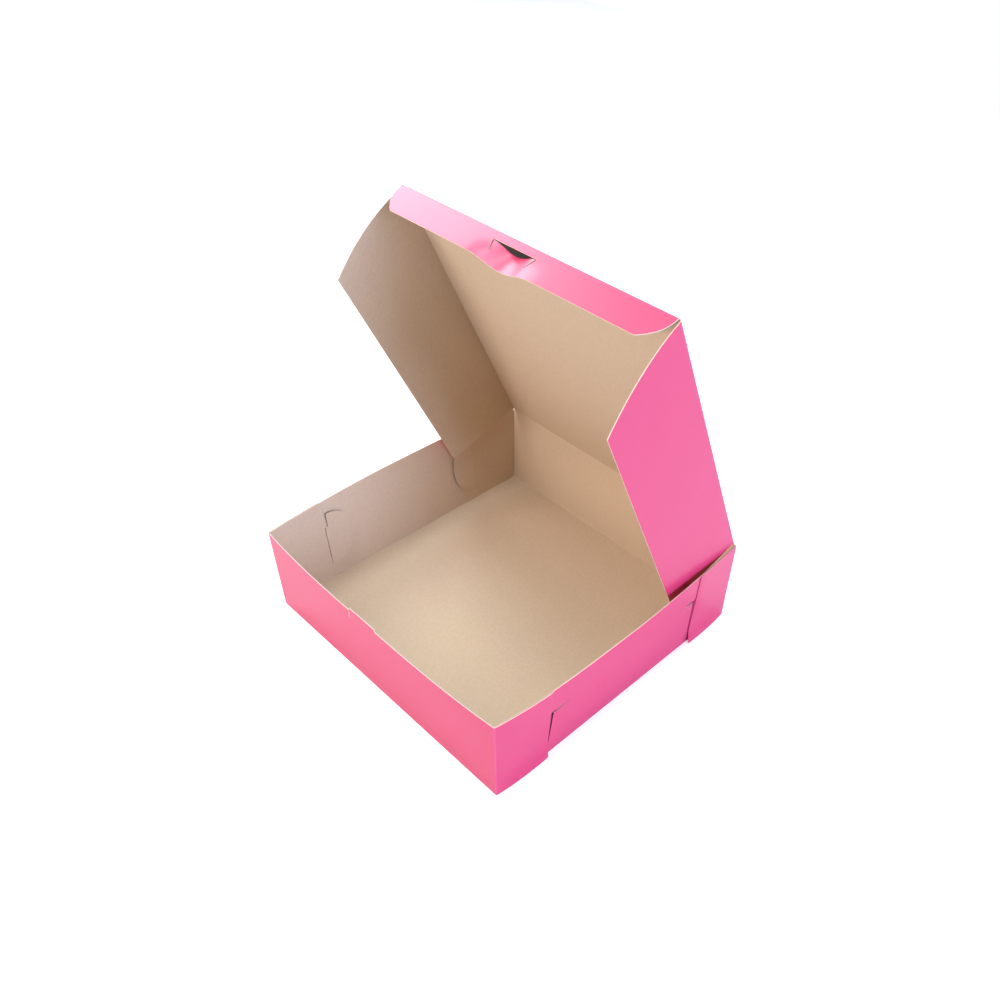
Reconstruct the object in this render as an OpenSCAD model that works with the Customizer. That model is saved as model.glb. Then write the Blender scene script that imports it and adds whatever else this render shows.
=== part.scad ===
/* [Board] */
// Thickness of the paperboard
board_t = 0.6; // [0.5:0.1:0.8]
// Clearance between two layers of board that lap
lap_gap = 0.3; // [0.2:0.05:0.4]
// Width of a die-cut slit once its edges have parted
slit_w = 0.8; // [0.5:0.1:1.2]

/* [Tray] */
// Width of the tray over its side walls
tray_w = 254; // [200:1:300]
// Depth of the tray over its front and rear walls
tray_d = 254; // [200:1:300]
// Height of the walls
wall_h = 76.2; // [72:0.1:90]
// How far the top edge of the front wall bows out at its middle
front_bow = 4.5; // [4:0.5:8]
// How far the top edge of the right wall bows out at its middle
right_bow = 6.5; // [0:0.5:12]
// How far the top edge of the left wall bows out at its middle
left_bow = 8.5; // [0:0.5:12]

/* [Corner locks] */
// Length of an ear, from the corner to its free end
ear_l = 48; // [40:1:56]
// How far an ear's lower free corner stands off the wall
ear_standoff = 2.5; // [0:0.5:4]
// Height of an ear's lower edge above the table
ear_lift = 0.5; // [0.3:0.1:2]
// Height of the lower end of the upright slit
slit_z = 15; // [10:1:20]
// Height of the upright slit that a tongue passes through
slit_h = 36; // [30:1:38]
// Length of the level slit that runs on from the top of the upright one
level_slit_l = 18; // [10:1:24]
// Length of the board that steps inwards through the upright slit
step_l = 2.6; // [2.4:0.1:4]
// Length of a tongue inside the wall
tongue_l = 21; // [14:1:26]
// How far a tongue hooks up past the top of its slit
hook_h = 14; // [4:1:16]

/* [Front tab] */
// Offset of the tab and of the tuck flap's mouth from the box's middle
lock_x = -3.5; // [-10:0.5:10]
// Width of the raised tab in the front wall's top edge
tab_w = 28; // [20:1:34]
// How far the tab stands above the wall
tab_h = 3; // [1:0.5:5]
// Depth of the slit beside the tab, below the wall's top edge
tab_slit_h = 10; // [4:1:16]

/* [Lid] */
// How far the lid stands open, from closed
lid_open = 65; // [40:1:110]
// Inset of the lid's side folds from the tray's sides at the hinge
lid_inset_rear = 1.4; // [1.2:0.1:4]
// Inset of the lid's side folds from the tray's sides at the front
lid_inset_front = 4.5; // [4.2:0.1:6]
// Clearance between the closed lid's front fold and the front wall
lid_front_gap = 2.2; // [1.8:0.1:3]
// Gap between the rounded top of the rear wall and the lid's rear edge
hinge_gap = 0.15; // [0.1:0.05:0.3]

/* [Side flaps] */
// Angle by which a side flap splays out at its front end. Its rear end stays square.
flap_splay = 2.4; // [0:0.1:2.4]
// Clearance between the closed lid's side flaps and the tray's floor
flap_floor_gap = 1.4; // [1:0.1:6]
// How far the curved front edge sweeps back at a side flap's corner
flap_sweep = 21; // [10:0.5:40]
// How far the straight rear edge runs forward at a side flap's corner
flap_rear_sweep = 12; // [6:1:24]
// Inset of a side flap's upper front corner from the lid's front fold
flap_front_inset = 1; // [0.5:0.1:4]
// Inset of a side flap's upper rear corner from the lid's rear edge
flap_rear_inset = 2.5; // [2:0.5:6]

/* [Tuck flap] */
// Depth of the tuck flap, from its fold to its free edge
tuck_d = 23; // [20:0.5:24.5]
// Angle that the tuck flap is folded inwards from the lid's plane
tuck_fold = 84; // [84:1:90]
// How far each curved end sweeps in at the free edge
tuck_sweep = 13; // [13:0.5:20]
// Inset of the tuck flap's two ends from the lid's side folds
tuck_end_inset = 1.6; // [1.2:0.1:3]
// Width of the mouth that the raised tab catches in
mouth_w = 38.5; // [36:0.5:60]
// Distance of the mouth from the fold
mouth_h = 6.5; // [5:0.5:9]
// Length of the slits that run down from the mouth's ends
leg_l = 9.5; // [6:0.5:11]
// Angle by which these slits lean towards each other
leg_lean = 24; // [0:1:30]
// How far the board is pressed inwards below the middle of the mouth
mouth_dip = 5.5; // [1:0.5:7]
// Width of this dip where it runs out through the tuck flap's free edge
edge_dip_w = 56; // [40:1:70]

/* [Hidden] */

// The higher a power, the flatter that end's half of a bowed edge is in the middle
// and the steeper at the corner: the powers of the halves towards -X or -Y, then
// towards +X or +Y. The right wall bows most near its front, the left wall least.
front_powers = [3, 3];
right_powers = [3.8, 1.6];
left_powers = [2, 3.8];
// Width over which a sheet's edge steps from one height to another
edge_step = 0.15;
// Power of the curve of a tuck flap's end
tuck_power = 2.5;
// Power of the curve of a tongue's tip: 2 would be an ellipse
tongue_power = 2.4;
// Share of a tongue's height that is left as its blunt tip
tip_share = 0.12;
// Clearance of a flap's edge and of the lid's ends from the bead that rounds a fold
bead_gap = 0.1;
// How far a bead reaches into the flat board beside it
bead_root = 0.3;
// Overshoot of cutting solids, so that they pass right through
cut = 1;
// Divisions of a bowed edge, of a curved edge and of the arc of a fold
bow_steps = 20;
curve_steps = 8;
arc_steps = 6;

ear_x = tray_w / 2 + lap_gap;
corner_x = ear_x + board_t;
front_y = -tray_d / 2;
hinge_y = tray_d / 2 - board_t / 2;
root_end = ear_l + step_l;
slit_top = slit_z + slit_h;
tongue_top = slit_top + hook_h;
lid_l = tray_d - 3 * board_t / 2 - lid_front_gap;
lid_rear = board_t / 2 + hinge_gap;
lid_taper = atan2(lid_inset_front - lid_inset_rear, lid_l);
fold_gap = board_t + bead_gap;
flap_d = wall_h - 3 * board_t / 2 - flap_floor_gap;
tuck_half = tray_w / 2 - lid_inset_front - tuck_end_inset;

// How far a wall has bowed out at a place along it and at a height
function bow(along, half, amount, powers, z) =
    amount * (1 - pow(min(abs(along) / half, 1), powers[along > 0 ? 1 : 0])) * z / wall_h;

// Half of the lid's width over its folded flaps, at a distance from the hinge
function lid_half(v) = tray_w / 2 - lid_inset_rear - v * tan(lid_taper);

// Numbers from a to b in n equal steps
function steps(a, b, n) = [for (i = [0 : n]) a + (b - a) * i / n];

// A number at the share s of the way from a to b
function mix(a, b, s) = a + (b - a) * s;

// Outline of the bead that rounds the outside of a fold: a pie slice that turns
// through the fold's angle, and reaches a little way into the flat board beside it
function bead(angle) =
    let (root = -sign(angle) * bead_root)
    concat(
        [[0, 0], [0, root], [board_t, root]],
        [for (a = steps(0, angle, arc_steps)) board_t * [cos(a), sin(a)]]);

// A sheet of board between a grid of places and the same grid moved by thick.
// The way from row to row, the way along a row and thick are right-handed.
module sheet(grid, thick) {
    rows = len(grid);
    cols = len(grid[0]);
    far = rows * cols;
    near_side = [for (row = grid) for (place = row) place];
    far_side = [for (place = near_side) place + thick];
    cells = [for (i = [0 : rows - 2]) for (j = [0 : cols - 2]) i * cols + j];
    rim = concat(
        [for (j = [0 : cols - 1]) j],
        [for (i = [1 : rows - 1]) i * cols + cols - 1],
        [for (j = [cols - 2 : -1 : 0]) (rows - 1) * cols + j],
        [for (i = [rows - 2 : -1 : 1]) i * cols]);
    edges = [for (k = [0 : len(rim) - 1]) [rim[k], rim[(k + 1) % len(rim)]]];
    polyhedron(
        points = concat(near_side, far_side),
        faces = concat(
            [for (a = cells) [a, a + cols, a + cols + 1]],
            [for (a = cells) [a, a + cols + 1, a + 1]],
            [for (a = cells) [far + a, far + a + cols + 1, far + a + cols]],
            [for (a = cells) [far + a, far + a + 1, far + a + cols + 1]],
            [for (e = edges) [e[0], e[1], far + e[1]]],
            [for (e = edges) [e[0], far + e[1], far + e[0]]]));
}

module floor_panel() {
    translate([-tray_w / 2, front_y, 0])
        cube([tray_w, tray_d, board_t]);
}

// The front wall bows out towards its top edge, and a tab stands up in its middle
module front_wall() {
    tab = [lock_x - tab_w / 2, lock_x + tab_w / 2];
    columns = concat(
        steps(-corner_x, tab[0] - edge_step, bow_steps / 2),
        steps(tab[0], tab[1], 4),
        steps(tab[1] + edge_step, corner_x, bow_steps / 2));
    difference() {
        sheet([for (x = columns)
            [for (z = [0, wall_h + (x >= tab[0] && x <= tab[1] ? tab_h : 0)])
                [x, front_y + board_t - bow(x, corner_x, front_bow, front_powers, z), z]]],
            [0, -board_t, 0]);
        translate([tab[0] - slit_w, front_y - front_bow - cut, wall_h - tab_slit_h])
            cube([slit_w, front_bow + board_t + 2 * cut, tab_slit_h + cut]);
    }
}

// The rear wall is held straight by the lid's fold, which rounds its top edge
module rear_wall() {
    translate([-corner_x, tray_d / 2 - board_t, 0])
        cube([2 * corner_x, board_t, wall_h]);
    translate([-lid_half(0), hinge_y, wall_h])
        rotate([0, 90, 0])
            cylinder(d = board_t, h = 2 * lid_half(0), $fn = 24);
}

// The right wall. Its L-shaped slits let the tongues of both ears through.
module side_wall(amount, powers) {
    end = tray_d / 2 - board_t - lap_gap;
    difference() {
        sheet([for (y = steps(-end, end, bow_steps))
            [for (z = [0, wall_h])
                [tray_w / 2 - board_t + bow(y, tray_d / 2, amount, powers, z), y, z]]],
            [board_t, 0, 0]);
        for (side = [0, 1])
            mirror([0, side, 0])
                translate([tray_w / 2 - board_t - cut, front_y + ear_l, 0]) {
                    translate([0, 0, slit_z])
                        cube([amount + board_t + 2 * cut, step_l, slit_h]);
                    translate([0, 0, slit_top - slit_w])
                        cube([amount + board_t + 2 * cut, step_l + level_slit_l, slit_w]);
                }
    }
}

// The front wall's ear laps the right wall outside, and the tongue on its end
// steps in through the slit and hooks up behind the wall
module ear(amount, powers) {
    root = [slit_z + lap_gap, slit_top - lap_gap];
    inside = -2 * board_t - lap_gap;
    tip_z = (root[0] + tongue_top) / 2;
    // Each column: distance from the corner, offset from the wall's outer face,
    // lower and upper edge, and how much the lower edge stands off
    ear_columns = [for (s = steps(edge_step, ear_l, 5))
        [s, lap_gap, ear_lift, wall_h, ear_standoff * (1 - pow(1 - s / ear_l, 3))]];
    root_columns = [
        [ear_l + edge_step, lap_gap, root[0], root[1], 0],
        [root_end, inside, root[0], root[1], 0]];
    tongue_columns = [for (k = [0 : curve_steps])
        let (s = sin(90 * k / curve_steps),
            rest = max(pow(1 - pow(s, tongue_power), 1 / tongue_power), tip_share))
        [root_end + edge_step + (tongue_l - edge_step) * s, inside,
            mix(tip_z, root[0], rest), mix(tip_z, tongue_top, rest), 0]];
    sheet([for (c = concat(ear_columns, root_columns, tongue_columns))
        let (y = front_y + c[0], middle = min(max(slit_z, c[2]), (c[2] + c[3]) / 2))
        [for (z = [c[2], middle > c[2] ? middle : (c[2] + c[3]) / 2, c[3]])
            [tray_w / 2 + c[1] + bow(y, tray_d / 2, amount, powers, z)
                + c[4] * max(0, 1 - z / slit_z), y, z]]],
        [board_t, 0, 0]);
}

module tray() {
    color("#ee679d") {
        floor_panel();
        front_wall();
        rear_wall();
        for (side = [0, 1]) {
            amount = [right_bow, left_bow][side];
            powers = [right_powers, left_powers][side];
            mirror([side, 0, 0]) {
                side_wall(amount, powers);
                ear(amount, powers);
                mirror([0, 1, 0])
                    ear(amount, [powers[1], powers[0]]);
            }
        }
    }
}

// Places its children in the lid's frame: the hinge line is X, the lid runs
// along -Y and its outer face looks along +Z
module at_lid() {
    translate([0, hinge_y, wall_h])
        rotate([-lid_open, 0, 0])
            children();
}

// Places its children at the right fold in the lid's frame. The fold runs along -Y.
module at_side_fold() {
    translate([lid_half(0) - board_t, 0, -board_t / 2])
        rotate([0, 0, -lid_taper])
            children();
}

// Places its children at the front fold in the lid's frame
module at_front_fold() {
    translate([0, -(lid_l - board_t), -board_t / 2])
        children();
}

// The flat panel, with a bead of board round the outside of each fold
module lid_panel() {
    panel_l = lid_l - board_t - bead_root / 2;
    color("#e5609b")
        at_lid() {
            translate([0, 0, -board_t / 2])
                linear_extrude(board_t)
                    polygon([for (p = [[-1, lid_rear], [-1, panel_l], [1, panel_l], [1, lid_rear]])
                        [p[0] * (lid_half(p[1]) - board_t - bead_root / 2), -p[1]]]);
            for (side = [0, 1])
                mirror([side, 0, 0])
                    at_side_fold()
                        translate([0, -lid_rear - bead_gap, 0])
                            rotate([90, 0, 0])
                                linear_extrude(panel_l - lid_rear - 2 * bead_gap)
                                    rotate(90)
                                        polygon(bead(-90));
            at_front_fold()
                translate([-tuck_half, 0, 0])
                    rotate([90, 0, 90])
                        linear_extrude(2 * tuck_half)
                            rotate(90)
                                polygon(bead(tuck_fold));
        }
}

// A side flap hangs from its fold. Its front end is curved and splays out, and its
// rear end, which stays between the rear ear and the rear wall, is straight.
module side_flap() {
    front = lid_l - board_t - flap_front_inset;
    rear = lid_rear + flap_rear_inset;
    color("#ef6fa6")
        at_lid()
            at_side_fold()
                sheet([for (along = steps(0, 1, curve_steps))
                    [for (w = steps(fold_gap, flap_d, curve_steps))
                        let (v = mix(rear + flap_rear_sweep * w / flap_d,
                                front - flap_sweep * pow(w / flap_d, 2), along),
                            splay = flap_splay * v / lid_l)
                        [w * sin(splay), -v, -w * cos(splay)]]],
                    [board_t, 0, 0]);
}

module right_side_flap() {
    side_flap();
}

module left_side_flap() {
    mirror([1, 0, 0])
        side_flap();
}

// How far the tuck flap dips inwards at a place along it and at a distance from
// its fold. The dip starts at the mouth and widens towards the free edge.
function dip(x, h) =
    let (half = mix(mouth_w, edge_dip_w, max(h - mouth_h, 0) / (tuck_d - mouth_h)) / 2,
        off = abs(x - lock_x))
    off >= half || h <= mouth_h ? 0 : mouth_dip * pow(cos(90 * off / half), 2);

// The mouth's cut, and the slits that run down from its ends
module mouth_slits() {
    deep = -mouth_dip - cut;
    through = board_t + cut - deep;
    translate([lock_x, -mouth_h, deep]) {
        translate([-mouth_w / 2, -slit_w, 0])
            cube([mouth_w, slit_w, through]);
        for (side = [-1, 1])
            translate([side * mouth_w / 2, 0, 0])
                rotate([0, 0, -side * leg_lean])
                    translate([-slit_w / 2, -leg_l, 0])
                        cube([slit_w, leg_l, through]);
    }
}

module tuck_flap() {
    plain_half = tuck_half - tuck_sweep - edge_step;
    dip_end = [lock_x - edge_dip_w / 2, lock_x + edge_dip_w / 2];
    columns = concat(
        [-tuck_half],
        steps(-plain_half, dip_end[0] - edge_step, 3),
        steps(dip_end[0], dip_end[1], 3 * curve_steps),
        steps(dip_end[1] + edge_step, plain_half, 3),
        [tuck_half]);
    rows = concat(
        steps(tuck_d, mouth_h + slit_w, curve_steps),
        [mouth_h, mouth_h / 2, fold_gap]);
    color("#f4aecb")
        at_lid()
            at_front_fold()
                rotate([tuck_fold, 0, 0])
                    difference() {
                        sheet([for (x = columns)
                            [for (h = rows)
                                let (half = tuck_half - tuck_sweep * pow(h / tuck_d, tuck_power))
                                [max(-half, min(half, x)), -h, -dip(x, h)]]],
                            [0, 0, board_t]);
                        mouth_slits();
                    }
}

tray();
lid_panel();
right_side_flap();
left_side_flap();
tuck_flap();
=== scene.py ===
# %% [markdown]
# # A pink bakery box, standing open
#
# This notebook dresses the imported CAD part of a bakery box. The box is folded
# from one sheet of paperboard, glossy pink outside and bare brown inside. Its
# tray stands square on the table, and its lid stands open by 65 degrees, with one
# flap hanging from each of its three free sides.
#
# The frame is loaded first, and each piece is later given a body to ride on.

# %% Load the imported frame
import math

import bmesh
import bpy
import numpy as np
from mathutils import Matrix, Vector


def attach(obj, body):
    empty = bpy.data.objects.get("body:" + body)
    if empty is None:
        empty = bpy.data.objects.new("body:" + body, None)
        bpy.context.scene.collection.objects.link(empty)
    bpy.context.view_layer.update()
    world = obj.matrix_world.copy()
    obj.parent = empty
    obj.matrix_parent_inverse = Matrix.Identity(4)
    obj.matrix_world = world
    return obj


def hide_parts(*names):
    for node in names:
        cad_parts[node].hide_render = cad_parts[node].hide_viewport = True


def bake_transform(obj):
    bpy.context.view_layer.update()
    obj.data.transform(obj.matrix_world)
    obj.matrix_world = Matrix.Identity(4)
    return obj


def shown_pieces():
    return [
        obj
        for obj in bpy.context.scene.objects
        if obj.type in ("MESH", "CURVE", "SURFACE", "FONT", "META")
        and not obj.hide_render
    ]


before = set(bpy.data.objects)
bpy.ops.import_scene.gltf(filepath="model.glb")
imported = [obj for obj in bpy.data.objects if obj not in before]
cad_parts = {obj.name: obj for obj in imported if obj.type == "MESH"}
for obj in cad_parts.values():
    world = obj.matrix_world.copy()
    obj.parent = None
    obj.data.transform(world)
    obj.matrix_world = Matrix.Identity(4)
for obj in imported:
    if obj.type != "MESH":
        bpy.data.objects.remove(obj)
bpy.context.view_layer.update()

# %% [markdown]
# ## Sizes
#
# The construction is drawn in millimetres, with the same names and values as the
# part's source, so that each piece lands exactly on the solid that it stands
# for. Everything is turned into metres once, where a mesh is made.

# %% Sizes of the board and the tray
MM = 0.001
BOARD_T, LAP_GAP = 0.6, 0.3
TRAY_W, TRAY_D, WALL_H = 254.0, 254.0, 76.2
FRONT_BOW, RIGHT_BOW, LEFT_BOW = (4.5, 3, 3), (6.5, 3.8, 1.6), (8.5, 2, 3.8)
NO_BOW = (0, 3, 3)
EAR_L, EAR_STANDOFF, EAR_LIFT = 48.0, 2.5, 0.5
SLIT_Z, SLIT_H, SLIT_W, LEVEL_SLIT_L = 15.0, 36.0, 0.8, 18.0
STEP_L, TONGUE_L, HOOK_H = 2.6, 21.0, 14.0
TONGUE_POWER, TIP_SHARE = 2.4, 0.12
LOCK_X, TAB_W, TAB_H, TAB_SLIT_H = -3.5, 28.0, 3.0, 10.0

# %% Sizes of the lid and its flaps
LID_OPEN, LID_INSET_REAR, LID_INSET_FRONT, LID_FRONT_GAP = 65.0, 1.4, 4.5, 2.2
FLAP_SPLAY, FLAP_FLOOR_GAP = 2.4, 1.4
FLAP_SWEEP, FLAP_REAR_SWEEP = 21.0, 12.0
FLAP_FRONT_INSET, FLAP_REAR_INSET, HINGE_GAP = 1.0, 2.5, 0.15
TUCK_D, TUCK_FOLD, TUCK_SWEEP, TUCK_END_INSET, TUCK_POWER = 23.0, 84.0, 13.0, 1.6, 2.5
MOUTH_W, MOUTH_H, LEG_L, LEG_LEAN = 38.5, 6.5, 9.5, 24.0
MOUTH_DIP, EDGE_DIP_W = 5.5, 56.0

# %% Places that follow from the sizes
CORNER_X = TRAY_W / 2 + LAP_GAP + BOARD_T
HINGE_Y = TRAY_D / 2 - BOARD_T / 2
ROOT_END = EAR_L + STEP_L
SLIT_TOP = SLIT_Z + SLIT_H
TONGUE_TOP = SLIT_TOP + HOOK_H
LID_L = TRAY_D - 3 * BOARD_T / 2 - LID_FRONT_GAP
LID_REAR_HALF = TRAY_W / 2 - LID_INSET_REAR
LID_TAPER = math.atan2(LID_INSET_FRONT - LID_INSET_REAR, LID_L)
FLAP_D = WALL_H - 3 * BOARD_T / 2 - FLAP_FLOOR_GAP
FLAP_REAR = BOARD_T / 2 + HINGE_GAP + FLAP_REAR_INSET
FLAP_FRONT = LID_L - BOARD_T - FLAP_FRONT_INSET
TUCK_HALF = TRAY_W / 2 - LID_INSET_FRONT - TUCK_END_INSET
print(f"lid {LID_L:.1f} mm long, flaps {FLAP_D:.1f} mm deep")

# %% [markdown]
# ## Paperboard as a mesh
#
# Board is a skin with a printed side, a bare side and a pale cut edge all round.
# It could be a plane with a Solidify modifier, but then the cuts and folds would
# be hard to place. Here a piece is a set of grids. Each place in a grid is a
# pair of points, one on each side of the board, and a cell that is cut away is
# left out. Grids that share places grow together, and wherever a cell has no
# neighbour the two sides are joined by a strip of cut edge.
#
# Each cell also says how its printed side, its bare side and its cut edge are
# finished. SHADE is painted shade: a dark colour for what lies deep in a cut, where hardly any
# light comes.

# %% A piece of board
PRINTED, BARE, EDGE, CREASED, CREASED_BARE, SHADE = range(6)


def steps(a, b, count):
    """Numbers from a to b in equal steps."""
    return [a + (b - a) * k / count for k in range(count + 1)]


def mix(a, b, share):
    """The number at that share of the way from a to b."""
    return a + (b - a) * share


class Board:
    """Grids of (printed side, bare side) places that grow together into one piece."""

    def __init__(self):
        self.pairs, self.known, self.cells = [], {}, []

    def place(self, pair):
        key = tuple(round(v, 3) for point in pair for v in point)
        if key not in self.known:
            self.known[key] = len(self.pairs)
            self.pairs.append(pair)
        return self.known[key]

    def grid(self, rows, cut=None, finishes=(PRINTED, BARE, EDGE)):
        """Adds a grid. cut(i, j) says which cells are cut away.

        finishes are those of a cell's printed side, bare side and cut edge, or a
        function that gives them for the cell (i, j)."""
        ids = [[self.place(pair) for pair in row] for row in rows]
        for i, (low, high) in enumerate(zip(ids, ids[1:])):
            for j in range(len(low) - 1):
                if not (cut and cut(i, j)):
                    these = finishes(i, j) if callable(finishes) else finishes
                    self.cells.append(((low[j], high[j], high[j + 1], low[j + 1]), these))

    def make(self, name):
        """The closed mesh: printed faces, bare faces, and cut edges round them."""
        faces, finishes, used = [], [], {}
        for cell, (front, back, rim) in self.cells:
            corners = list(dict.fromkeys(cell))
            faces += [[2 * c for c in corners], [2 * c + 1 for c in reversed(corners)]]
            finishes += [front, back]
            for a, b in zip(corners, corners[1:] + corners[:1]):
                used.setdefault(frozenset((a, b)), []).append((a, b, rim))
        for a, b, rim in (once[0] for once in used.values() if len(once) == 1):
            faces.append([2 * a, 2 * a + 1, 2 * b + 1, 2 * b])
            finishes.append(rim)
        points = [Vector(point) * MM for pair in self.pairs for point in pair]
        mesh = bpy.data.meshes.new(name)
        mesh.from_pydata(points, [], faces)
        for _ in range(SHADE + 1):
            mesh.materials.append(None)
        mesh.polygons.foreach_set("material_index", finishes)
        tidy_mesh(mesh)
        piece = bpy.data.objects.new(name, mesh)
        bpy.context.scene.collection.objects.link(piece)
        print(f"{name}: {len(mesh.polygons)} faces, {open_edges(mesh)} open edges")
        return piece


# %% Mesh helpers
SHARP = math.radians(38)
WELD = 0.002 * MM


def tidy_mesh(mesh):
    """Welds points that coincide, turns all faces outwards, and smooths the folds."""
    shape = bmesh.new()
    shape.from_mesh(mesh)
    bmesh.ops.remove_doubles(shape, verts=shape.verts, dist=WELD)
    bmesh.ops.recalc_face_normals(shape, faces=shape.faces)
    shape.to_mesh(mesh)
    shape.free()
    mesh.shade_smooth()
    mesh.set_sharp_from_angle(angle=SHARP)


def open_edges(mesh):
    """How many edges don't have exactly two faces. A closed solid has none."""
    faces_at = {}
    for face in mesh.polygons:
        for key in face.edge_keys:
            faces_at[key] = faces_at.get(key, 0) + 1
    return sum(count != 2 for count in faces_at.values())


# %% [markdown]
# ## Folds
#
# A scored fold in board is a small curve: the printed side runs round the outside
# and the bare side makes a tight corner. One function gives its cross-section,
# for any angle. It comes in along p, its printed side faces q, and it bends away
# from the printed side.

# %% The cross-section of a fold
FOLD_STEPS = 6
INNER_R = 0.15


def fold_section(angle, bare_q, lead_in, lead_out, radius=INNER_R):
    """(printed, bare) points of a fold by angle, in degrees, in its own p and q.

    bare_q is how high the bare side lies over the fold's own line, and radius is
    that of the bare side in the bend."""
    turn, half = math.radians(angle), math.tan(math.radians(angle) / 2)
    centre = np.array([(bare_q - radius) * half, bare_q - radius])
    rows = [[np.array([-lead_in, bare_q + t]) for t in (BOARD_T, 0)]]
    for phi in steps(0, turn, FOLD_STEPS):
        out = np.array([math.sin(phi), math.cos(phi)])
        rows.append([centre + (radius + t) * out for t in (BOARD_T, 0)])
    along = np.array([math.cos(turn), -math.sin(turn)])
    out = np.array([math.sin(turn), math.cos(turn)])
    rows.append([lead_out * along + (bare_q + t) * out for t in (BOARD_T, 0)])
    return rows


# %% [markdown]
# ## The tray
#
# The tray is a square floor with four walls. The front and rear walls end in
# ears that turn the corners and lap the side walls outside. On the end of each
# ear is a tongue. It steps in through an L-shaped slit and hooks up behind the
# wall, which locks the corner with no glue. The walls are pushed out by the
# ears, so their top edges bow.

# %% Where the tray's walls run
FOLD_R = 0.9


def bow(along, half, bulge, z):
    """How far a wall has bowed out at a place along it and at a height."""
    amount, near_power, far_power = bulge
    power = far_power if along > 0 else near_power
    return amount * (1 - min(abs(along) / half, 1) ** power) * z / WALL_H


def end_wall(x, z, facing, bulge):
    """A place on the front (facing -1) or rear (facing 1) wall."""
    out = TRAY_D / 2 + bow(x, CORNER_X, bulge, z)
    return [(x, facing * (out - t), z) for t in (0, BOARD_T)]


def side_wall(y, z, side, bulge):
    """A place on the right (side 1) or left (side -1) wall."""
    out = TRAY_W / 2 + bow(y, TRAY_D / 2, bulge, z)
    return [(side * (out - t), y, z) for t in (0, BOARD_T)]


def ear(s, z, side, facing, bulge, offset=LAP_GAP):
    """A place on an ear, at the distance s from its corner."""
    y = facing * (TRAY_D / 2 - s)
    standoff = EAR_STANDOFF * (1 - (1 - min(s / EAR_L, 1)) ** 3) * max(0, 1 - z / SLIT_Z)
    if s > EAR_L:
        standoff = 0
    out = TRAY_W / 2 + offset + bow(y, TRAY_D / 2, bulge, z) + standoff
    return [(side * (out + t), y, z) for t in (BOARD_T, 0)]


# %% Columns and rows that the tray's grids share
TAB = (LOCK_X - TAB_W / 2, LOCK_X + TAB_W / 2)
FLOOR_END = TRAY_W / 2 - FOLD_R
WALL_END = CORNER_X - FOLD_R
LAST_COLUMN, TAB_STEP_W = 118, 0.2
ROOT_SPARE = 0.2
ROOT = (SLIT_Z - ROOT_SPARE, SLIT_TOP + ROOT_SPARE)
CREASE_LOW = BOARD_T / 2
SHADE_W = 0.6

wall_x = sorted(
    [-WALL_END, -FLOOR_END, FLOOR_END, WALL_END, -LID_REAR_HALF, LID_REAR_HALF]
    + steps(-LAST_COLUMN, TAB[0] - SLIT_W, 9) + steps(*TAB, 4)
    + steps(TAB[1] + TAB_STEP_W, LAST_COLUMN, 9))
slit_y = [EAR_L, ROOT_END, ROOT_END + SHADE_W, ROOT_END + LEVEL_SLIT_L / 2,
          ROOT_END + LEVEL_SLIT_L]
half_y = [TRAY_D / 2 - s for s in [FOLD_R, 8, 18, 28, 38, *slit_y, 80, 92, 104, 116]]
side_y = sorted([-y for y in half_y] + [0.0] + half_y)
band_z = [8, ROOT[0], 24, 33, 42, ROOT[1], 58, WALL_H - TAB_SLIT_H, 71,
          WALL_H - CREASE_LOW, WALL_H, WALL_H + TAB_H]
side_z = [FOLD_R, 8, SLIT_Z, 24, 33, 42, SLIT_TOP - SLIT_W, SLIT_TOP, 60, 68, WALL_H]
ear_s = [FOLD_R, 4, 10, 17, 24, 31, 38, 44, EAR_L]
print(len(wall_x), "columns across the tray and", len(side_y), "rows from front to rear")

# %% [markdown]
# Each wall is one grid on the floor's own columns, so that the folds meet the
# floor place by place. The tab on the front wall is an extra row that only has
# cells in the middle, and the slit beside it is one column left out. The top row
# of the rear wall is left out under the lid: the lid's crease is a piece of its
# own there, because it has to bend.

# %% The floor and its four folds
def floor_fold(board, edges, wall, toward):
    """Bends the board up from the floor's edge to the foot of a wall."""
    for (x0, y0), (x1, y1) in zip(edges, edges[1:]):
        rows = []
        for x, y in ((x0, y0), (x1, y1)):
            foot = wall(x, y)
            row = []
            for phi in steps(0, math.pi / 2, FOLD_STEPS):
                pair = []
                for t, end in zip((FOLD_R, FOLD_R - BOARD_T), foot):
                    reach = math.sin(phi) * t
                    rise = FOLD_R - math.cos(phi) * t
                    lean = [e - c for e, c in zip(end, (x + toward[0] * t, y + toward[1] * t))]
                    pair.append((x + toward[0] * reach + lean[0] * math.sin(phi),
                                 y + toward[1] * reach + lean[1] * math.sin(phi), rise))
                row.append(tuple(pair))
            rows.append(row)
        board.grid(rows, finishes=(CREASED, BARE, EDGE))


tray = Board()
floor_x = [x for x in wall_x if abs(x) <= FLOOR_END]
tray.grid([[((x, y, 0), (x, y, BOARD_T)) for y in side_y] for x in floor_x])
for facing, bulge in ((-1, FRONT_BOW), (1, NO_BOW)):
    floor_fold(tray, [(x, facing * FLOOR_END) for x in floor_x],
               lambda x, y: end_wall(x, FOLD_R, facing, bulge), (0, facing))
for side, bulge in ((1, RIGHT_BOW), (-1, LEFT_BOW)):
    floor_fold(tray, [(side * FLOOR_END, y) for y in side_y],
               lambda x, y: side_wall(y, FOLD_R, side, bulge), (side, 0))

# %% Cells cut out of the walls
NEAR = 0.01
wall_z = [FOLD_R] + band_z


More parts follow.
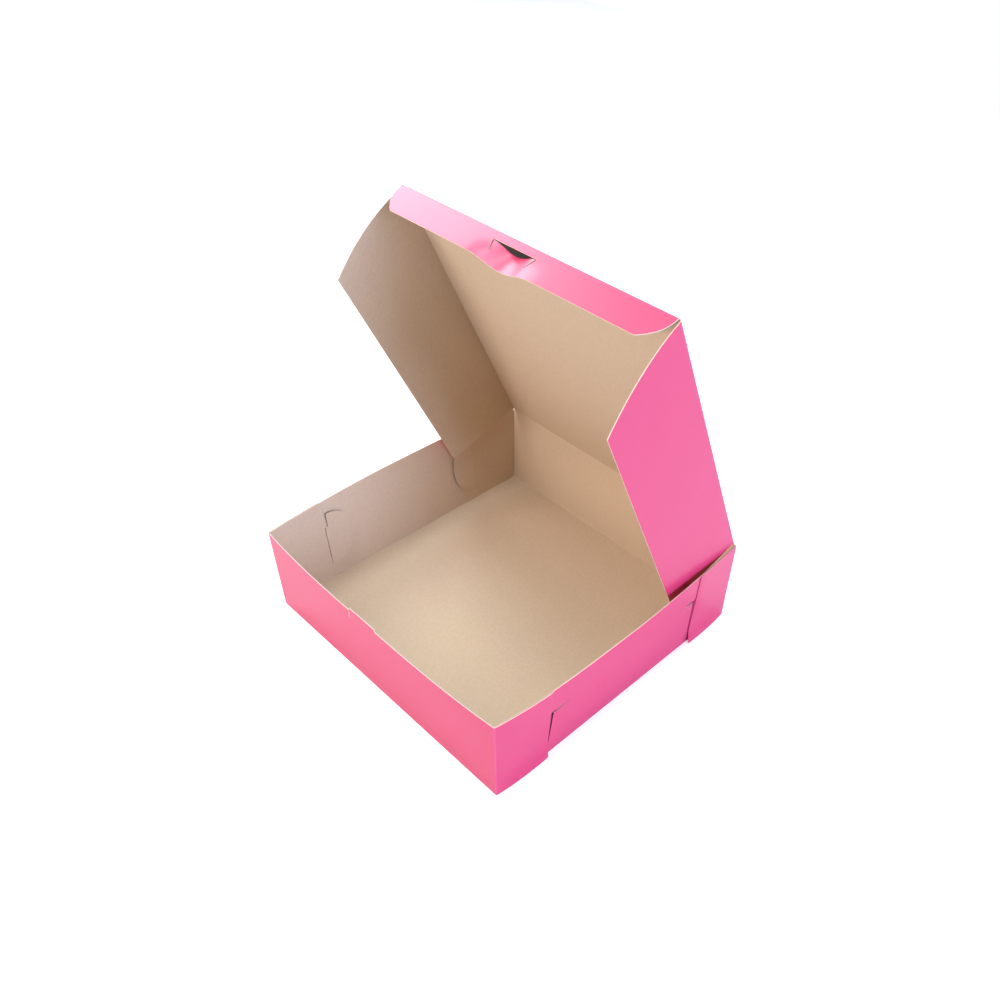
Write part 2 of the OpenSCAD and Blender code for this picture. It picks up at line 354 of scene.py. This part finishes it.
def missing_from_front(i, j):
    """Above the wall only the tab stands, and a slit runs down beside it."""
    x, z = wall_x[i], wall_z[j]
    beside = TAB[0] - SLIT_W - NEAR <= x < TAB[0] - NEAR
    on_tab = TAB[0] - NEAR <= x < TAB[1] - NEAR
    return (z >= WALL_H and not on_tab) or (z >= WALL_H - TAB_SLIT_H and beside)


def missing_from_rear(i, j):
    """The crease of the lid takes the place of the top row."""
    x, z = wall_x[i], wall_z[j]
    return z >= WALL_H or (z >= WALL_H - CREASE_LOW and abs(x + NEAR) < LID_REAR_HALF)


def missing_from_side(i, j):
    """The L-shaped slits: upright next to the ear's end, level along the top."""
    s, z = TRAY_D / 2 - abs((side_y[i] + side_y[i + 1]) / 2), side_z[j]
    upright = EAR_L < s < ROOT_END and SLIT_Z <= z < SLIT_TOP
    level = EAR_L < s < ROOT_END + LEVEL_SLIT_L and SLIT_TOP - SLIT_W <= z < SLIT_TOP
    return upright or level


# %% [markdown]
# A slit that board has been pushed through doesn't close again. It gapes most
# where its upright and level parts meet. The cuts could be made wider all along,
# but then they would look like slots. Here only the places on their rims move.

# %% Slits that gape and lean
UPRIGHT_GAPE, LEVEL_GAPE = (1.4, 3.0), (2.3, 0.2)
TAB_SLIT_GAPE, TAB_SLIT_LEAN = 0.6, 0.3


def slit_gape(y, z):
    """The slits gape where upright and level meet, and close towards their ends."""
    s = TRAY_D / 2 - abs(y)
    if abs(s - ROOT_END) < NEAR and SLIT_Z <= z <= SLIT_TOP:
        s = EAR_L + mix(*UPRIGHT_GAPE, (z - SLIT_Z) / SLIT_H)
    on_level = ROOT_END - 1 < s < ROOT_END + LEVEL_SLIT_L + 1
    if abs(z - (SLIT_TOP - SLIT_W)) < NEAR and on_level:
        z = SLIT_TOP - mix(*LEVEL_GAPE, min(max(s - ROOT_END, 0) / LEVEL_SLIT_L, 1))
    return math.copysign(TRAY_D / 2 - s, y), z


def side_finish(i, j):
    """Painted shade on the rims in the upright slits, and bare where the ears hide the wall's
    ends.
    """
    s, z = TRAY_D / 2 - abs((side_y[i] + side_y[i + 1]) / 2), side_z[j]
    beside = ROOT_END < s < ROOT_END + SHADE_W and SLIT_Z <= z < SLIT_TOP
    return PRINTED, BARE, SHADE if beside else BARE if s < EAR_L else EDGE


def slit_lean(x, z):
    """The slit beside the tab leans a little, away from the tab at its foot."""
    beside = min(abs(x - TAB[0]), abs(x - TAB[0] + SLIT_W)) < NEAR
    if not beside or z < WALL_H - TAB_SLIT_H:
        return x
    at_left_rim = x < TAB[0] - NEAR and z > WALL_H - TAB_SLIT_H
    return x - TAB_SLIT_LEAN * max(0, WALL_H - z) - (TAB_SLIT_GAPE if at_left_rim else 0)


# %% The four walls
for facing, bulge, missing in ((-1, FRONT_BOW, missing_from_front),
                               (1, NO_BOW, missing_from_rear)):
    tray.grid([[end_wall(slit_lean(x, z) if facing < 0 else x, z, facing, bulge)
                for z in wall_z] for x in wall_x], missing)
for side, bulge in ((1, RIGHT_BOW), (-1, LEFT_BOW)):
    tray.grid([[side_wall(*slit_gape(y, z), side, bulge) for z in side_z] for y in side_y],
              missing_from_side, side_finish)

# %% [markdown]
# An ear starts as a small upright fold at the corner. Its grid then runs on
# through the step and the tongue. The rows draw together towards the tongue's
# tip, along a curve that is blunter than an ellipse. What shows of the tongue
# through its slit lies in shade, so its printed side is painted dark, as painted shade.

# %% The corner where an ear starts
def corner_fold(side, facing, wall_bow, side_bow):
    """The upright fold that turns from an end wall into an ear."""
    rows = []
    for phi in steps(0, math.pi / 2, FOLD_STEPS):
        row = []
        for z in [None] + band_z[:-1]:
            z = mix(FOLD_R, EAR_LIFT, math.sin(phi)) if z is None else z
            wall = end_wall(side * WALL_END, z, facing, wall_bow)
            start = ear(FOLD_R, z, side, facing, side_bow)
            pair = []
            for t, a, b in zip((FOLD_R, FOLD_R - BOARD_T), wall, start):
                x = side * (WALL_END + math.sin(phi) * t)
                y = facing * (TRAY_D / 2 - FOLD_R + math.cos(phi) * t)
                lean_x = (b[0] - side * (WALL_END + t)) * math.sin(phi)
                lean_y = (a[1] - facing * (TRAY_D / 2 - FOLD_R + t)) * math.cos(phi)
                pair.append((x + lean_x, y + lean_y, z))
            row.append(tuple(pair))
        rows.append(row)
    return rows


# %% The ear and its step through the wall
STEP_ACTIVE = 0.3
STEP_SHARES = (0.07, 0.15, 0.23, STEP_ACTIVE, 1)
PRESSED = 0.35
BEHIND_WALL = -2 * BOARD_T - LAP_GAP
# The first row of cells that is painted dark as shade, and the cells at the ear's top edge.
DARK_ROW, EAR_TOP = len(ear_s) + 3, len(band_z) - 2
ear_z = [EAR_LIFT] + band_z[:-1]


def ear_rows(side, facing, bulge):
    """The ear as far as its free end, then the step in through the wall's slit.

    The ear's free end is pressed thinner, and the step is steep at its start."""
    rows = [[ear(s, z, side, facing, bulge) for z in ear_z] for s in ear_s]
    rows[-1] = [(tuple(mix(b, a, PRESSED) for a, b in zip(*pair)), pair[1])
                for pair in rows[-1]]
    for share in STEP_SHARES:
        part = min(share / STEP_ACTIVE, 1)
        offset = mix(LAP_GAP, BEHIND_WALL, part * part * (3 - 2 * part))
        s = EAR_L + share * STEP_L
        rows.append([(ear(s, z, side, facing, bulge, offset)[0],
                      ear(s, z, side, facing, bulge, BEHIND_WALL)[1]) for z in ear_z])
    return rows


def missing_from_ear(i, j):
    """Past the ear's end only the tongue's root goes on."""
    return i >= len(ear_s) - 1 and not ROOT[0] <= ear_z[j] < ROOT[1]


def ear_finish(i, j):
    """The ear's own edges are pressed flat and pink, and its root is painted dark, as painted
    shade.
    """
    if i >= DARK_ROW:
        return SHADE, BARE, BARE
    return PRINTED, BARE, EDGE if j == EAR_TOP else CREASED


# %% The tongue behind the wall
TONGUE_LIFT = 1.2
TONGUE_STEPS = 12


def tongue_rows(side, facing, bulge):
    """The tongue behind the wall, hooked up past the top of its slit.

    It springs away from the wall a little, more so towards its rim."""
    heights = [z for z in band_z if ROOT[0] <= z <= ROOT[1]] + [58, TONGUE_TOP]
    tip = (ROOT[0] + TONGUE_TOP) / 2
    rows = []
    for k in range(TONGUE_STEPS + 1):
        s = math.sin(math.pi / 2 * k / TONGUE_STEPS)
        rest = max((1 - s ** TONGUE_POWER) ** (1 / TONGUE_POWER), TIP_SHARE)
        rows.append([])
        for z in heights:
            lift = TONGUE_LIFT * max(s, max(0, z - ROOT[1]) / (TONGUE_TOP - ROOT[1]))
            rows[-1].append(ear(ROOT_END + TONGUE_L * s, mix(tip, z, rest), side, facing,
                                bulge, BEHIND_WALL - lift))
    return rows


# %% All four corners
for side, side_bow in ((1, RIGHT_BOW), (-1, LEFT_BOW)):
    for facing, wall_bow in ((-1, FRONT_BOW), (1, NO_BOW)):
        tray.grid(corner_fold(side, facing, wall_bow, side_bow),
                  finishes=lambda i, j: (CREASED, BARE, EDGE if j == EAR_TOP else CREASED))
        tray.grid(ear_rows(side, facing, side_bow), missing_from_ear, ear_finish)
        tray.grid(tongue_rows(side, facing, side_bow), finishes=(SHADE, BARE, BARE))
tray_board = tray.make("tray_board")

# %% [markdown]
# ## The lid
#
# The lid is a flat panel that narrows a little towards its front, so that it
# drops inside the walls when the box is closed. Its places are worked out flat,
# as if the lid lay shut, and then a matrix opens it. The folds round it are not
# part of this piece.

# %% The lid's own frames
def turned(axis, degrees):
    return Matrix.Rotation(math.radians(degrees), 4, axis)


LID = Matrix.Translation((0, HINGE_Y, WALL_H)) @ turned("X", -LID_OPEN)
RIGHT_FOLD = (LID @ Matrix.Translation((LID_REAR_HALF - BOARD_T, 0, -BOARD_T / 2))
              @ Matrix.Rotation(-LID_TAPER, 4, "Z"))
LEFT_FOLD = Matrix.Scale(-1, 4, (1, 0, 0)) @ RIGHT_FOLD
FRONT_FOLD = LID @ Matrix.Translation((0, -(LID_L - BOARD_T), -BOARD_T / 2))


def placed(matrix, points):
    return tuple(tuple(matrix @ Vector(point)) for point in points)


# %% The lid panel
LEAD = 0.45
HINGE_LEAD = 0.75
PAST_SIDE_FOLD, PAST_FRONT_FOLD = 0.4, 0.3
LID_STEPS = 8
lid_v = ([HINGE_LEAD, FLAP_REAR] + steps(FLAP_REAR, FLAP_FRONT, 12)[1:]
         + [LID_L - BOARD_T - LEAD, LID_L - BOARD_T + PAST_FRONT_FOLD])
LAST_CELL = LID_STEPS + 3


def lid_row(v):
    """Places across the lid at the distance v from its hinge."""
    ends = [RIGHT_FOLD @ Vector((x, -v, 0)) for x in (PAST_SIDE_FOLD, -LEAD)]
    half = [end.x for end in ends] + [TUCK_HALF]
    middle = steps(TUCK_HALF, -TUCK_HALF, LID_STEPS)[1:-1]
    xs = half + middle + [-h for h in reversed(half)]
    return [placed(LID, [(x, -v, t) for t in (BOARD_T / 2, -BOARD_T / 2)]) for x in xs]


def missing_from_lid(i, j):
    """Room for the folds along both sides and along the front."""
    beside_flap = j in (0, LAST_CELL) and 1 <= i < len(lid_v) - 3
    return beside_flap or (i == len(lid_v) - 2 and 2 <= j <= LAST_CELL - 2)


def lid_finish(i, j):
    """The cut edge next to the hinge is brown, so that no pale line shows there."""
    return PRINTED, BARE, BARE if i < 2 else EDGE


lid = Board()
lid.grid([lid_row(v) for v in lid_v], missing_from_lid, lid_finish)
lid_board = lid.make("lid_board")

# %% [markdown]
# ## The flaps at the lid's sides
#
# Each side flap hangs from its fold. Its front edge is cut in a curve, so that it
# slides in behind the front wall, and its free end has swung out a little. The
# twist is the same as in the part's source: none at the rear, most at the front.

# %% The side flaps
FLAP_START = 0.8
flap_along = steps(0, 1, 16)
flap_w = steps(FLAP_START, FLAP_D, 14)


def flap_v(along, w):
    """How far from the hinge a place on a flap is, at the depth w."""
    rear = FLAP_REAR + FLAP_REAR_SWEEP * w / FLAP_D
    return mix(rear, FLAP_FRONT - FLAP_SWEEP * (w / FLAP_D) ** 2, along)


def flap_place(fold, along, w):
    v = flap_v(along, w)
    splay = math.radians(FLAP_SPLAY) * v / LID_L
    return placed(fold, [(w * math.sin(splay) + t, -v, -w * math.cos(splay))
                         for t in (BOARD_T, 0)])


flap_boards = {}
for name, fold in (("right_flap", RIGHT_FOLD), ("left_flap", LEFT_FOLD)):
    flap = Board()
    flap.grid([[flap_place(fold, along, w) for w in flap_w]
               for along in flap_along])
    flap_boards[name] = flap.make(name + "_board")

# %% [markdown]
# ## The tuck flap
#
# The flap at the front of the lid tucks in behind the front wall. A mouth is cut
# near its fold, with a short slit running down from each end, and the board
# below has been pressed inwards by the tab that catches there. The grid's
# columns lean with the two slits, so the cuts are simply cells left out.

# %% Where the tuck flap's board runs
HALF_CUT = SLIT_W / 2
leg_end = MOUTH_H + LEG_L * math.cos(math.radians(LEG_LEAN))


def tuck_half(h):
    """Half of the tuck flap's width at the distance h from its fold."""
    return TUCK_HALF - TUCK_SWEEP * (h / TUCK_D) ** TUCK_POWER


def leg_x(h):
    """How far the slits are from the mouth's middle."""
    lean = math.tan(math.radians(LEG_LEAN))
    return MOUTH_W / 2 - lean * (min(max(h, MOUTH_H), leg_end) - MOUTH_H)


def dip(x, h):
    """How far the board is pressed in, below the mouth."""
    share = max(h - MOUTH_H, 0) / (TUCK_D - MOUTH_H)
    half, off = mix(MOUTH_W, EDGE_DIP_W, share) / 2, abs(x - LOCK_X)
    if off >= half or h <= MOUTH_H + NEAR:
        return 0
    return MOUTH_DIP * math.cos(math.pi / 2 * off / half) ** 2


tuck_h = ([FLAP_START, 2.5, 4.5, MOUTH_H, MOUTH_H + SLIT_W]
          + steps(MOUTH_H + SLIT_W, leg_end, 5)[1:] + steps(leg_end, TUCK_D, 7)[1:])
TUCK_PLACE = FRONT_FOLD @ turned("X", TUCK_FOLD)
BESIDE_MOUTH, IN_MOUTH = 12, 16
LEFT_LEG, RIGHT_LEG = BESIDE_MOUTH, BESIDE_MOUTH + IN_MOUTH + 1


def tuck_row(h):
    """Places across the tuck flap, at the distance h from its fold."""
    leg, half = leg_x(h), tuck_half(h)
    xs = (steps(-half, LOCK_X - leg - HALF_CUT, BESIDE_MOUTH)
          + steps(LOCK_X - leg + HALF_CUT, LOCK_X + leg - HALF_CUT, IN_MOUTH)
          + steps(LOCK_X + leg + HALF_CUT, half, BESIDE_MOUTH))
    return [placed(TUCK_PLACE, [(x, -h, t - dip(x, h)) for t in (BOARD_T, 0)]) for x in xs]


# %% The tuck flap with its mouth
def missing_from_tuck(i, j):
    """The mouth and its two slits."""
    h = tuck_h[i]
    mouth = abs(h - MOUTH_H) < NEAR and LEFT_LEG <= j <= RIGHT_LEG
    legs = MOUTH_H - NEAR <= h < leg_end - NEAR and j in (LEFT_LEG, RIGHT_LEG)
    return mouth or legs


def tuck_finish(i, j):
    """Painted shade on the rims in the two slits and along the mouth's lower lip, pale
    everywhere else.
    """
    below = MOUTH_H < tuck_h[i] < leg_end
    beside = LEFT_LEG - 1 <= j <= RIGHT_LEG + 1
    return PRINTED, BARE, SHADE if below and beside else EDGE


tuck = Board()
tuck.grid([tuck_row(h) for h in tuck_h], missing_from_tuck, tuck_finish)
tuck_board = tuck.make("tuck_board")

# %% [markdown]
# ## The creases that bend
#
# Board doesn't part at a fold, so the strip along each moving fold is a piece of
# its own. The strips share their end places with the
# boards on both sides, so that nothing shows at rest.

# %% The crease of the hinge
HINGE_INNER_R = 0.1

section = fold_section(90 - LID_OPEN, -BOARD_T / 2, CREASE_LOW, HINGE_LEAD, HINGE_INNER_R)
hinge = Board()
hinge.grid([[tuple((x, HINGE_Y + q, WALL_H + p) for p, q in pair) for pair in section]
            for x in wall_x if abs(x) <= LID_REAR_HALF],
           finishes=(CREASED, CREASED_BARE, BARE))
hinge_crease = hinge.make("hinge_crease")

# %% The creases of the flaps
flap_creases = {}
for name, fold in (("right_flap", RIGHT_FOLD), ("left_flap", LEFT_FOLD)):
    rows = []
    for along in flap_along:
        v = flap_v(along, FLAP_START)
        splay = FLAP_SPLAY * v / LID_L
        section = fold_section(90 - splay, 0, LEAD, FLAP_START)
        row = [placed(fold, [(p, -v, q) for p, q in pair]) for pair in section]
        row[-1] = flap_place(fold, along, FLAP_START)
        rows.append(row)
    crease = Board()
    crease.grid(rows, finishes=(CREASED, BARE, EDGE))
    flap_creases[name] = crease.make(name + "_crease")

section = fold_section(TUCK_FOLD, 0, LEAD, FLAP_START)
front = Board()
front.grid([[placed(FRONT_FOLD, [(x, -p, q) for p, q in pair]) for pair in section]
            for x in steps(TUCK_HALF, -TUCK_HALF, LID_STEPS)],
           finishes=(CREASED, BARE, EDGE))
tuck_crease = front.make("tuck_crease")

# %% [markdown]
# ## Which body each piece follows
#
# A board rides on its own body and stands for that body's solid. A crease keeps
# its place, which is baked into its mesh. All of it is the same paperboard.


for piece, body, node in ((tray_board, "tray", "tray"), (lid_board, "lid", "lid_panel"),
                          (flap_boards["right_flap"], "right_flap", "right_side_flap"),
                          (flap_boards["left_flap"], "left_flap", "left_side_flap"),
                          (tuck_board, "tuck", "tuck_flap")):
    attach(piece, body)
    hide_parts(node)

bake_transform(hinge_crease)
for name, fold in (("right_flap", RIGHT_FOLD), ("left_flap", LEFT_FOLD)):
    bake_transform(flap_creases[name])
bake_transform(tuck_crease)

# %% [markdown]
# ## Writing a material as sums
#
# A finish is a graph of nodes. Wiring it by hand is long, so a small class wraps
# a socket and lets Python's own signs add Math nodes. Every other node comes from
# one method: its type, its settings, and what goes into its sockets.

# %% A socket that can be added and multiplied
class Wire:
    """An output socket in a material, and the node maker of its graph."""

    def __init__(self, graph, socket=None):
        self.graph, self.socket = graph, socket

    def node(self, kind, settings=None, sockets=None, output=0):
        """Adds a node: its settings first, then the values or links of its sockets."""
        made = self.graph.nodes.new(kind)
        for name, value in (settings or {}).items():
            if name == "stops":
                for stop, (place, colour) in zip(made.color_ramp.elements, value):
                    stop.position, stop.color = place, colour
            else:
                setattr(made, name, value)
        for name, value in (sockets or {}).items():
            if isinstance(value, Wire):
                self.graph.links.new(value.socket, made.inputs[name])
            else:
                made.inputs[name].default_value = value
        return Wire(self.graph, made.outputs[output])

    def maths(self, operation, *values):
        return self.node("ShaderNodeMath", {"operation": operation}, dict(enumerate(values)))

    def __add__(self, other):
        return self.maths("ADD", self, other)

    def __sub__(self, other):
        return self.maths("SUBTRACT", self, other)

    def __mul__(self, other):
        return self.maths("MULTIPLY", self, other)

    def __rsub__(self, other):
        return self.maths("SUBTRACT", other, self)

    __radd__, __rmul__ = __add__, __mul__


# %% Colours and shared textures
def linear(red, green, blue):
    """A colour as read off a screen, 0 to 255, turned into the light it stands for."""
    return tuple(((c / 255 + 0.055) / 1.055) ** 2.4 for c in (red, green, blue)) + (1.0,)


def finish(name, roughness, **fixed):
    """A new material with its Principled shader, and a Wire to build on."""
    material = bpy.data.materials.new(name)
    material.use_nodes = True
    shader = material.node_tree.nodes["Principled BSDF"]
    shader.inputs["Roughness"].default_value = roughness
    for socket, value in fixed.items():
        shader.inputs[socket.replace("_", " ")].default_value = value
    return material, shader, Wire(material.node_tree)


def noise(wire, scale, detail=2):
    """Noise about 0.5, in the object's own coordinates, scale in lumps per metre."""
    place = wire.node("ShaderNodeTexCoord", output="Object")
    return wire.node("ShaderNodeTexNoise", {}, {"Vector": place, "Scale": scale,
                                                "Detail": detail})


def tinted(wire, factor, low, high):
    """A colour between low and high, by a factor from 0 to 1.

    The Mix node's sockets go by number, because the colour ones share their
    names with others."""
    return wire.node("ShaderNodeMix", {"data_type": "RGBA"}, {0: factor, 6: low, 7: high},
                     output=2)


def plug(wire, shader, **links):
    """Links wires to the shader's sockets."""
    for socket, source in links.items():
        wire.graph.links.new(source.socket, shader.inputs[socket.replace("_", " ")])


# %% [markdown]
# ## The finishes
#
# The printed side is a smooth satin coat over pink ink. Along a scored fold the
# coat is lighter: partly the stretched coat, partly a painted highlight on the rounded fold.
# The sheen varies a little in wide clouds, and a very fine bump keeps it from looking like
# glass.

# %% The printed side
CLOUDS, PEEL = 18, 900
SHEEN_SPREAD = 0.06


def bump(wire, height, strength, distance):
    """A Bump node for the shader's Normal, its distance in metres."""
    return wire.node("ShaderNodeBump", {}, {"Height": height, "Strength": strength,
                                            "Distance": distance})


def printed(name, low, high, roughness):
    material, shader, wire = finish(name, roughness)
    clouds = noise(wire, CLOUDS, 3)
    plug(wire, shader, Base_Color=tinted(wire, clouds, low, high),
         Roughness=roughness + (clouds - 0.5) * SHEEN_SPREAD,
         Normal=bump(wire, noise(wire, PEEL), 0.03, 0.0002))
    return material


pink = printed("pink_coat", linear(200, 49, 96), linear(206, 55, 103), 0.34)
# The creased coat is a lighter pink: partly the stretched coat, partly a painted highlight on
# the fold.
creased_pink_with_painted_highlight = printed("creased_pink_coat", linear(208, 66, 112), linear(214, 76, 122), 0.4)

# %% [markdown]
# The bare side is brown board with a mottle of fibres, and the cut edge is paler.
# Behind the tuck flap's mouth the real box is almost black, since no light gets in
# there. Studio lamps reach further than that, so a small patch of painted shade is
# laid into the colour of every bare finish, where the board shows through the mouth.

# %% The painted shade behind the mouth
SHADE_COLOUR, SHADE_DEPTH = linear(26, 22, 20), 0.96
BEHIND_MOUTH = (-0.0153, 0.0262, 0.2912)
SHADE_REACH, SHADE_FADE = (0.0225, 0.0052, 0.0052), (0.75, 1.25)


def mouth_painted_shade(wire):
    """1 in the middle of the painted shade behind the tuck flap's mouth, and 0 past it."""
    place = wire.node("ShaderNodeTexCoord", output="Object")
    off = wire.node("ShaderNodeVectorMath", {"operation": "SUBTRACT"},
                    {0: place, 1: BEHIND_MOUTH})
    off = wire.node("ShaderNodeVectorMath", {"operation": "DIVIDE"}, {0: off, 1: SHADE_REACH})
    away = wire.node("ShaderNodeVectorMath", {"operation": "LENGTH"}, {0: off},
                     output="Value")
    return wire.node("ShaderNodeMapRange", {"interpolation_type": "SMOOTHSTEP"},
                     {"Value": away, "From Min": SHADE_FADE[0], "From Max": SHADE_FADE[1],
                      "To Min": 1.0, "To Max": 0.0})


# %% The bare side, the cut edge and the painted shade deep in a cut
MOTTLE, GRAIN, MATT = 420, 1900, 0.85


def bare(name, low, high):
    material, shader, wire = finish(name, MATT)
    mottle, grain = noise(wire, MOTTLE, 6), noise(wire, GRAIN, 3)
    board = tinted(wire, (mottle + grain) * 0.5, low, high)
    # Painted shade: the bare board's colour is darkened where it shows through the tuck flap's
    # mouth.
    shade = mouth_painted_shade(wire) * SHADE_DEPTH
    plug(wire, shader, Base_Color=tinted(wire, shade, board, SHADE_COLOUR),
         Normal=bump(wire, mottle + grain, 0.12, 0.0004))
    return material


brown = bare("bare_brown", linear(187, 161, 134), linear(216, 194, 169))
pale_edge = bare("cut_edge", linear(218, 180, 166), linear(242, 214, 202))
creased_brown = bare("creased_brown", linear(194, 174, 148), linear(232, 216, 194))
# cut_shade is painted shade: a dark maroon for what lies deep in the cuts.
cut_shade = bare("cut_shade", linear(66, 20, 32), linear(88, 34, 46))

# %% Each finish in its own slot
finishes = {PRINTED: pink, BARE: brown, EDGE: pale_edge, CREASED: creased_pink_with_painted_highlight,
            CREASED_BARE: creased_brown, SHADE: cut_shade}
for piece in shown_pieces():
    for slot, material in finishes.items():
        piece.data.materials[slot] = material

# %% [markdown]
# ## Floor, light and camera
#
# The floor is white. What the camera sees of it gets a little light of its own,
# so that it runs into the white background, while the box's shadow stays. The
# world is white where the camera sees it, and where a sheen or a clear thing
# shows it, and it gives the box hardly any light. A white world all round would
# be simpler, but it would wash the shading out of the box's inside.

# %% The floor
FLOOR_HALF, FLOOR_Z, FLOOR_GLOW = 1.6, -0.0001, 0.52

floor_mesh = bpy.data.meshes.new("floor")
floor_mesh.from_pydata([(x * FLOOR_HALF, y * FLOOR_HALF, FLOOR_Z)
                        for x, y in ((-1, -1), (1, -1), (1, 1), (-1, 1))],
                       [], [(0, 1, 2, 3)])
floor = bpy.data.objects.new("floor", floor_mesh)
bpy.context.scene.collection.objects.link(floor)

floor_white, floor_shader, wire = finish("floor_white", 0.9, Base_Color=(0.8, 0.8, 0.8, 1))
seen = wire.node("ShaderNodeLightPath", output="Is Camera Ray")
floor_shader.inputs["Emission Color"].default_value = (1, 1, 1, 1)
plug(wire, floor_shader, Emission_Strength=seen * FLOOR_GLOW)
floor_mesh.materials.append(floor_white)

# %% The world
ROOM_LIGHT = 0.03

world_light = bpy.data.worlds.new("studio")
bpy.context.scene.world = world_light
world_light.use_nodes = True
wire = Wire(world_light.node_tree)
camera_ray, glossy_ray, clear_ray = (
    wire.node("ShaderNodeLightPath", output=f"Is {kind} Ray")
    for kind in ("Camera", "Glossy", "Transmission"))
seen = wire.maths("MAXIMUM", camera_ray, wire.maths("MAXIMUM", glossy_ray, clear_ray))
background = world_light.node_tree.nodes["Background"]
plug(wire, background, Strength=seen * (1 - ROOM_LIGHT) + ROOM_LIGHT)
background.inputs["Color"].default_value = (1, 1, 1, 1)

# %% [markdown]
# The lamps are large round softboxes, which give soft shading and no hard
# shadows. The front ones are warm and most of the others cool, because in the
# photograph the box's right side leans towards lilac. One lamp stands behind the
# box, so that its back isn't dark when it is turned.


# %% The lamps
def softbox(name, place, aim, size, power, colour):
    lamp = bpy.data.lights.new(name, "AREA")
    lamp.shape, lamp.size, lamp.energy, lamp.color = "DISK", size, power, colour
    stand = bpy.data.objects.new(name, lamp)
    stand.location = place
    stand.rotation_euler = (Vector(aim) - Vector(place)).to_track_quat("-Z", "Y").to_euler()
    bpy.context.scene.collection.objects.link(stand)
    print(f"{name}: {power:g} W at {place}")


BOX_MIDDLE = (0, 0, 0.1)
softbox("key", (-0.5, -0.1, 1.8), BOX_MIDDLE, 0.7, 15, (0.8, 0.92, 1))
softbox("window", (-1.5, 0.4, 1.3), BOX_MIDDLE, 1.0, 23, (0.82, 0.95, 1))
softbox("front", (-0.3, -1.9, 0.7), BOX_MIDDLE, 1.0, 25, (1, 0.9, 0.85))
softbox("front_left", (-0.7, -1.1, 1.5), BOX_MIDDLE, 0.8, 8.5, (1, 0.86, 0.78))
softbox("above", (0.1, -0.6, 1.6), BOX_MIDDLE, 0.6, 9, (0.82, 0.93, 1))
softbox("side", (1.9, 0.1, 0.5), BOX_MIDDLE, 1.0, 50, (0.59, 0.69, 1))
softbox("rear", (0.3, 1.9, 0.6), BOX_MIDDLE, 1.0, 24, (1, 0.98, 0.95))

# %% The camera
EYE = (0.3943, -0.3555, 0.5441)
RIGHT, DOWN = (0.72242, 0.68929, 0.05460), (0.50735, -0.47477, -0.71916)
FOCAL, SENSOR, FRAME = 913.06, 36.0, 1000
CENTRE = (590.37, 581.11)
camera = bpy.data.cameras.new("camera")
camera.sensor_width, camera.lens = SENSOR, FOCAL / FRAME * SENSOR
camera.shift_x, camera.shift_y = (FRAME / 2 - CENTRE[0]) / FRAME, (CENTRE[1] - FRAME / 2) / FRAME
camera.clip_start, camera.clip_end = 0.01, 20
eye = bpy.data.objects.new("camera", camera)
right, down = Vector(RIGHT).normalized(), Vector(DOWN).normalized()
ahead = right.cross(down)
eye.matrix_world = Matrix.Translation(EYE) @ Matrix((right, -down, -ahead)).transposed().to_4x4()
bpy.context.scene.collection.objects.link(eye)
bpy.context.scene.camera = eye
bpy.context.scene.view_settings.view_transform = "Standard"
print(f"lens {camera.lens:.2f} mm, shift {camera.shift_x:.3f}, {camera.shift_y:.3f}")
